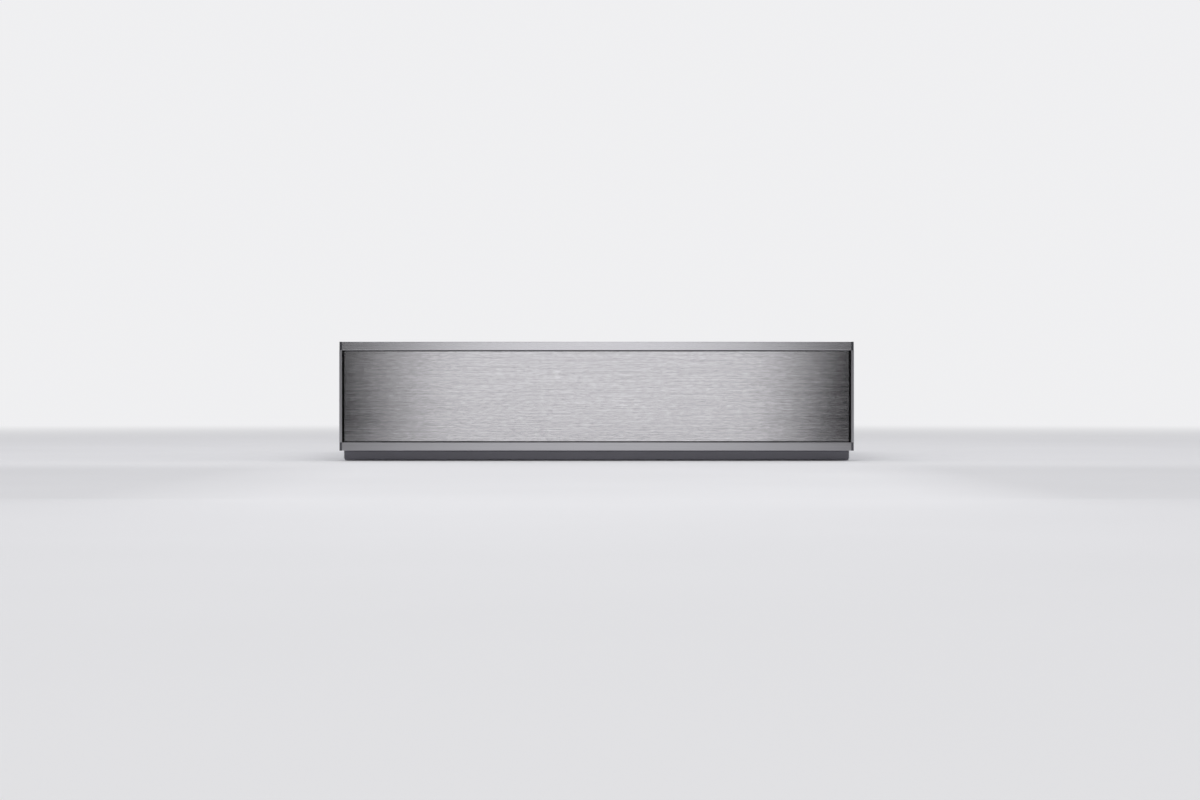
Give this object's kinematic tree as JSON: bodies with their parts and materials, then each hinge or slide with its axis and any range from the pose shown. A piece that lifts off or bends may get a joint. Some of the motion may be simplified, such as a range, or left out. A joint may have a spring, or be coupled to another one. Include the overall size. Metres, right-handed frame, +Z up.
{
  "type": "vacuum sealing drawer",
  "caption": "Built-in handleless kitchen drawer with a brushed steel and glass front, holding a vacuum chamber with a hinged glass lid, a rising sealing bar and a pump.",
  "frame": {"origin": "bottom centre of the whole drawer, closed, at the level of the underside of its feet", "axes": "+X to the right seen from the front, +Y to the rear, +Z up; the front faces -Y"},
  "size_m": [0.59, 0.545, 0.1365],
  "materials": {
    "rail_aluminium": "fine satin anodised, lighter at its edges",
    "strip_aluminium": "satin anodised",
    "corner_aluminium": "dark satin anodised",
    "panel_steel": "brushed along its width",
    "pane_glass": "clear, polished edges",
    "carrier_plastic": "moulded black",
    "trim_aluminium": "dark satin anodised",
    "zinc_sheet": "galvanised sheet with a faint spangle",
    "drawer_sheet": "stainless sheet, satin",
    "deck_steel": "brushed along its width",
    "chamber_steel": "deep drawn, satin",
    "runner_steel": "bright zinc plated",
    "ball_steel": "bright",
    "screw_steel": "bright zinc plated",
    "control_glass": null,
    "black_plastic": "moulded, fine grain",
    "circuit_board": "green solder mask",
    "lid_glass": "smoked clear, polished edges",
    "lid_aluminium": "satin anodised",
    "black_silicone": "matt",
    "counter_silicone": "matt",
    "bar_aluminium": "satin",
    "sealing_tape": "woven glass with a smooth coat",
    "clip_steel": "spring steel, satin",
    "hinge_steel": "satin",
    "cast_aluminium": "cast, blasted",
    "motor_enamel": "black enamel",
    "shaft_steel": "ground",
    "fan_plastic": "moulded",
    "valve_plastic": "moulded",
    "hose_silicone": "satin, translucent grey",
    "transformer_steel": "varnished laminations"
  },
  "bodies": {
    "housing": {"housing_base": "zinc_sheet", "housing_side_left": "zinc_sheet", "housing_side_right": "zinc_sheet", "housing_rear": "zinc_sheet", "top_front_rail": "zinc_sheet", "top_rear_cover": "zinc_sheet", "lower_front_trim": "trim_aluminium", "housing_feet": "black_plastic", "front_buffers": "black_silicone", "push_latch_body": "black_plastic", "power_inlet": "black_plastic", "housing_screws": "screw_steel", "outer_runners": "runner_steel"},
    "outer_cages": {"outer_ball_cages": "ball_steel"},
    "middle_members": {"middle_runners": "runner_steel"},
    "inner_cages": {"inner_ball_cages": "ball_steel"},
    "drawer": {"drawer_floor": "drawer_sheet", "drawer_side_left": "drawer_sheet", "drawer_side_right": "drawer_sheet", "drawer_rear": "drawer_sheet", "inner_runners": "runner_steel", "deck_plate": "deck_steel", "front_top_rail": "rail_aluminium", "front_bottom_rail": "rail_aluminium", "front_side_strips": "strip_aluminium", "front_corner_pieces": "corner_aluminium", "front_steel_panel": "panel_steel", "front_glass_pane": "pane_glass", "front_carrier": "carrier_plastic", "front_back_plate": "zinc_sheet", "front_screws": "screw_steel", "control_housing": "black_plastic", "control_glass": "control_glass", "control_board": "circuit_board", "chamber": "chamber_steel", "lift_cylinders": "bar_aluminium", "suction_port": "black_plastic", "bag_clip_bracket": "clip_steel", "hinge_brackets": "hinge_steel", "hinge_pins": "screw_steel", "pump_housing": "cast_aluminium", "pump_motor": "motor_enamel", "pump_mounts": "black_silicone", "transformer": "transformer_steel", "power_board": "circuit_board", "solenoid_valves": "valve_plastic", "vacuum_hoses": "hose_silicone"},
    "lid": {"lid_glass": "lid_glass", "lid_rear_profile": "lid_aluminium", "lid_front_trim": "lid_aluminium", "lid_seal": "black_silicone", "counter_bar_holder": "lid_aluminium", "counter_bar": "counter_silicone"},
    "sealing_bar": {"sealing_bar": "bar_aluminium", "sealing_tape": "sealing_tape", "lift_pistons": "bar_aluminium"},
    "bag_clip": {"bag_clip": "clip_steel"},
    "latch_plunger": {"latch_plunger": "black_plastic"},
    "rotor": {"motor_shaft": "shaft_steel", "cooling_fan": "fan_plastic"}
  },
  "joints": [
    {"name": "drawer_slide", "type": "slide", "parent": "housing", "child": "drawer", "axis": [0, -1, 0], "range_m": [0, 0.43]},
    {"name": "middle_slide", "type": "slide", "parent": "housing", "child": "middle_members", "axis": [0, -1, 0], "range_m": [0, 0.215]},
    {"name": "outer_cage_slide", "type": "slide", "parent": "housing", "child": "outer_cages", "axis": [0, -1, 0], "range_m": [0, 0.1075]},
    {"name": "inner_cage_slide", "type": "slide", "parent": "housing", "child": "inner_cages", "axis": [0, -1, 0], "range_m": [0, 0.3225]},
    {"name": "lid_hinge", "type": "hinge", "parent": "drawer", "child": "lid", "pos_m": [0, 0.1175, 0.124], "axis": [-1, 0, 0], "range_deg": [0, 80]},
    {"name": "sealing_lift", "type": "slide", "parent": "drawer", "child": "sealing_bar", "axis": [0, 0, 1], "range_m": [0, 0.005]},
    {"name": "bag_clip_hinge", "type": "hinge", "parent": "drawer", "child": "bag_clip", "pos_m": [0, -0.1725, 0.099], "axis": [1, 0, 0], "range_deg": [0, 20], "stiffness_Nm_per_rad": 0.5, "springref_deg": -11.46},
    {"name": "latch_press", "type": "slide", "parent": "housing", "child": "latch_plunger", "axis": [0, 1, 0], "range_m": [0, 0.003], "stiffness_N_per_m": 800, "springref_m": -0.002},
    {"name": "rotor_spin", "type": "hinge", "parent": "drawer", "child": "rotor", "pos_m": [0, 0.1755, 0.0642], "axis": [1, 0, 0], "continuous": true}
  ],
  "couplings": [
    {"joint": "middle_slide", "follows": "drawer_slide", "ratio": 0.5},
    {"joint": "outer_cage_slide", "follows": "drawer_slide", "ratio": 0.25},
    {"joint": "inner_cage_slide", "follows": "drawer_slide", "ratio": 0.75}
  ]
}
